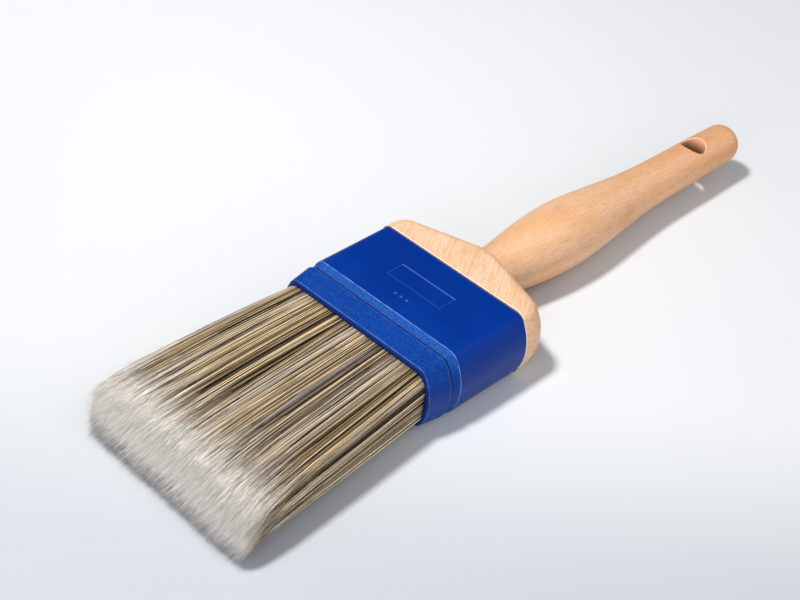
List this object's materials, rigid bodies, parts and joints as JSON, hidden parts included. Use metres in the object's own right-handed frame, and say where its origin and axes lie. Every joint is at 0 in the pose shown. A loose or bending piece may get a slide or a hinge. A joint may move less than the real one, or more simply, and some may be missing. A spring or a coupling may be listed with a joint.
{
  "type": "paint brush",
  "caption": "Flat wall paint brush with a turned wooden handle, sloped wooden shoulder block, moulded ferrule with a collar, and a thick springy pack of mixed filaments with pale tips.",
  "frame": {"origin": "under the middle of the overall length and width, on the plane the brush lies on with its lower broad side down", "axes": "+X along the brush towards the handle's hanging end, +Y across the width, +Z through the thickness, away from the plane it lies on"},
  "size_m": [0.2846, 0.0764, 0.0258],
  "materials": {
    "handle_wood": "satin",
    "block_wood": "satin",
    "ferrule_plastic": "satin",
    "resin": "gloss",
    "strip_wood": "matte",
    "filament": "satin"
  },
  "bodies": {
    "root": {"handle": "handle_wood", "shoulder_block": "block_wood", "ferrule": "ferrule_plastic", "resin_setting": "resin", "spacer_strip_upper": "strip_wood", "spacer_strip_lower": "strip_wood", "bristle_roots_upper": "filament", "bristle_roots_middle": "filament", "bristle_roots_lower": "filament"},
    "bristles": {"bristle_row_upper": "filament", "bristle_row_middle": "filament", "bristle_row_lower": "filament"}
  },
  "joints": [
    {"name": "bristle_flex", "type": "hinge", "parent": "root", "child": "bristles", "pos_m": [-0.0656, 0, 0.01285], "axis": [0, 1, 0], "range_deg": [-25, 25], "stiffness_Nm_per_rad": 0.8}
  ]
}
